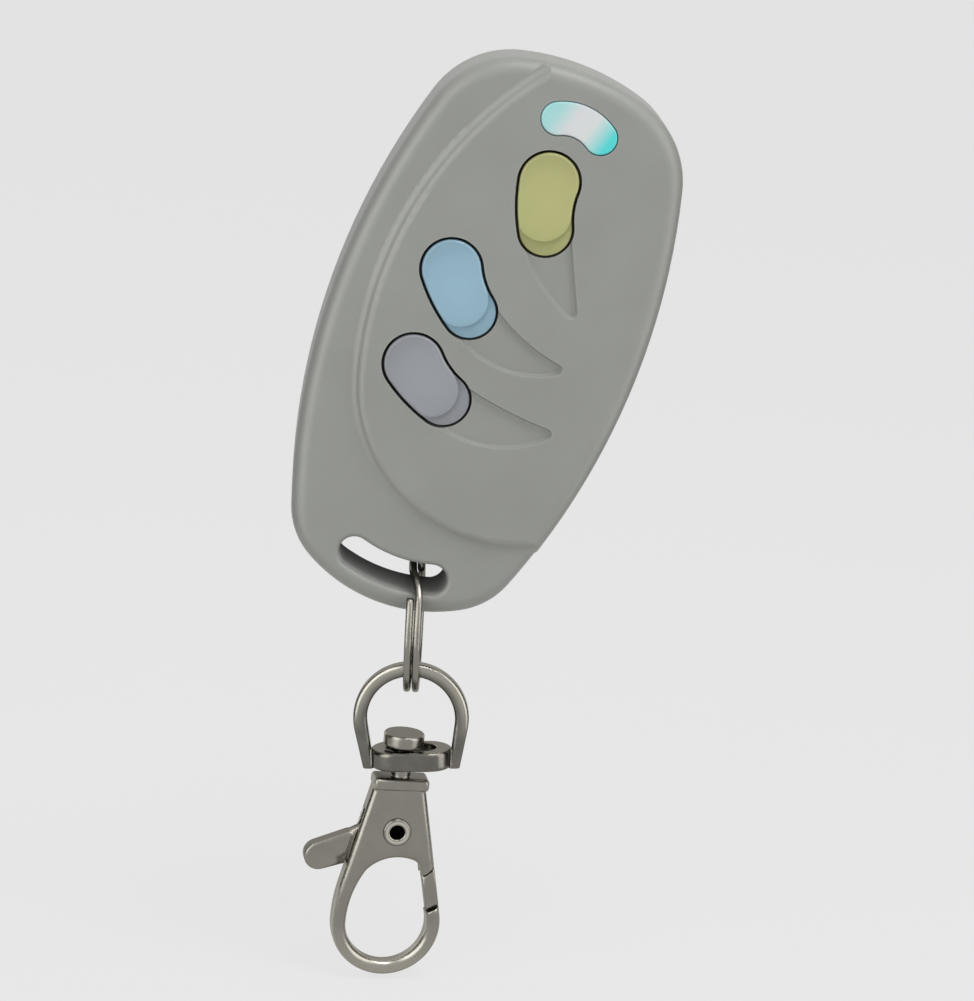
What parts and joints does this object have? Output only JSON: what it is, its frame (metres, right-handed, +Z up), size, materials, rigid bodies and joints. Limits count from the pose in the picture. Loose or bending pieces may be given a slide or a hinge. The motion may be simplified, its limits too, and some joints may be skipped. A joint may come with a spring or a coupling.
{
  "type": "wireless remote control",
  "caption": "Key-fob remote with coloured push-buttons and a light window, hanging with a split ring and a swivel snap hook.",
  "frame": {"origin": "centre of the flat back face of the case", "axes": "+Y out of the back face, so the buttons face -Y; +Z up along the hanging chain; +X to the right as seen from the front"},
  "size_m": [0.0412, 0.016, 0.1108],
  "materials": {
    "case_plastic": "fine satin moulding texture",
    "screw_steel": "zinc plated",
    "lens_clear": "clear tinted plastic, polished",
    "board_green": "solder mask",
    "light_white": "milky resin",
    "chip_black": "moulded epoxy",
    "resonator_cap": "plated lid",
    "copper": "tinned copper",
    "chip_tan": "ceramic",
    "spring_plate": "nickel plated",
    "cell_can": "bright steel can",
    "switch_case": "moulded",
    "plunger_plastic": "moulded",
    "button_yellow": "soft satin",
    "button_blue": "soft satin",
    "button_grey": "soft satin",
    "nickel": "bright nickel plate",
    "rivet_nickel": "bright nickel plate",
    "spring_wire": "drawn wire"
  },
  "bodies": {
    "remote": {"front_cover": "case_plastic", "rear_cover": "case_plastic", "case_screws": "screw_steel", "led_lens": "lens_clear", "circuit_board": "board_green", "status_led": "light_white", "encoder_chip": "chip_black", "saw_resonator": "resonator_cap", "antenna_loop": "copper", "chip_parts": "chip_tan", "battery_clip": "spring_plate", "battery_contact": "spring_plate", "coin_cell": "cell_can", "switch_body_upper": "switch_case", "switch_body_middle": "switch_case", "switch_body_lower": "switch_case"},
    "upper_button": {"button_upper": "button_yellow", "switch_plunger_upper": "plunger_plastic"},
    "middle_button": {"button_middle": "button_blue", "switch_plunger_middle": "plunger_plastic"},
    "lower_button": {"button_lower": "button_grey", "switch_plunger_lower": "plunger_plastic"},
    "ring": {"split_ring": "nickel"},
    "eye": {"swivel_eye": "nickel"},
    "clasp": {"clasp_body": "nickel", "lever_rivet": "rivet_nickel", "lever_spring": "spring_wire"},
    "lever": {"clasp_lever": "nickel"}
  },
  "joints": [
    {"name": "upper_button_press", "type": "slide", "parent": "remote", "child": "upper_button", "axis": [0, 1, 0], "range_m": [0, 0.0003], "stiffness_N_per_m": 400, "springref_m": -0.0004},
    {"name": "middle_button_press", "type": "slide", "parent": "remote", "child": "middle_button", "axis": [0, 1, 0], "range_m": [0, 0.0003], "stiffness_N_per_m": 400, "springref_m": -0.0004},
    {"name": "lower_button_press", "type": "slide", "parent": "remote", "child": "lower_button", "axis": [0, 1, 0], "range_m": [0, 0.0003], "stiffness_N_per_m": 400, "springref_m": -0.0004},
    {"name": "ring_swing", "type": "hinge", "parent": "remote", "child": "ring", "pos_m": [-0.0041, -0.00609, -0.02993], "axis": [0, 1, 0], "range_deg": [-15, 15]},
    {"name": "eye_slide_round_ring", "type": "hinge", "parent": "ring", "child": "eye", "pos_m": [-0.0041, -0.00609, -0.03467], "axis": [0.9986, -0.0523, 0], "range_deg": [-90, 90]},
    {"name": "clasp_swivel", "type": "hinge", "parent": "eye", "child": "clasp", "pos_m": [-0.0044, -0.00609, -0.04972], "axis": [0, 0, 1], "continuous": true},
    {"name": "lever_open", "type": "hinge", "parent": "clasp", "child": "lever", "pos_m": [-0.00445, -0.00609, -0.05989], "axis": [-0.1219, 0.9925, 0], "range_deg": [0, 25], "stiffness_Nm_per_rad": 0.02, "springref_deg": -17.19}
  ]
}
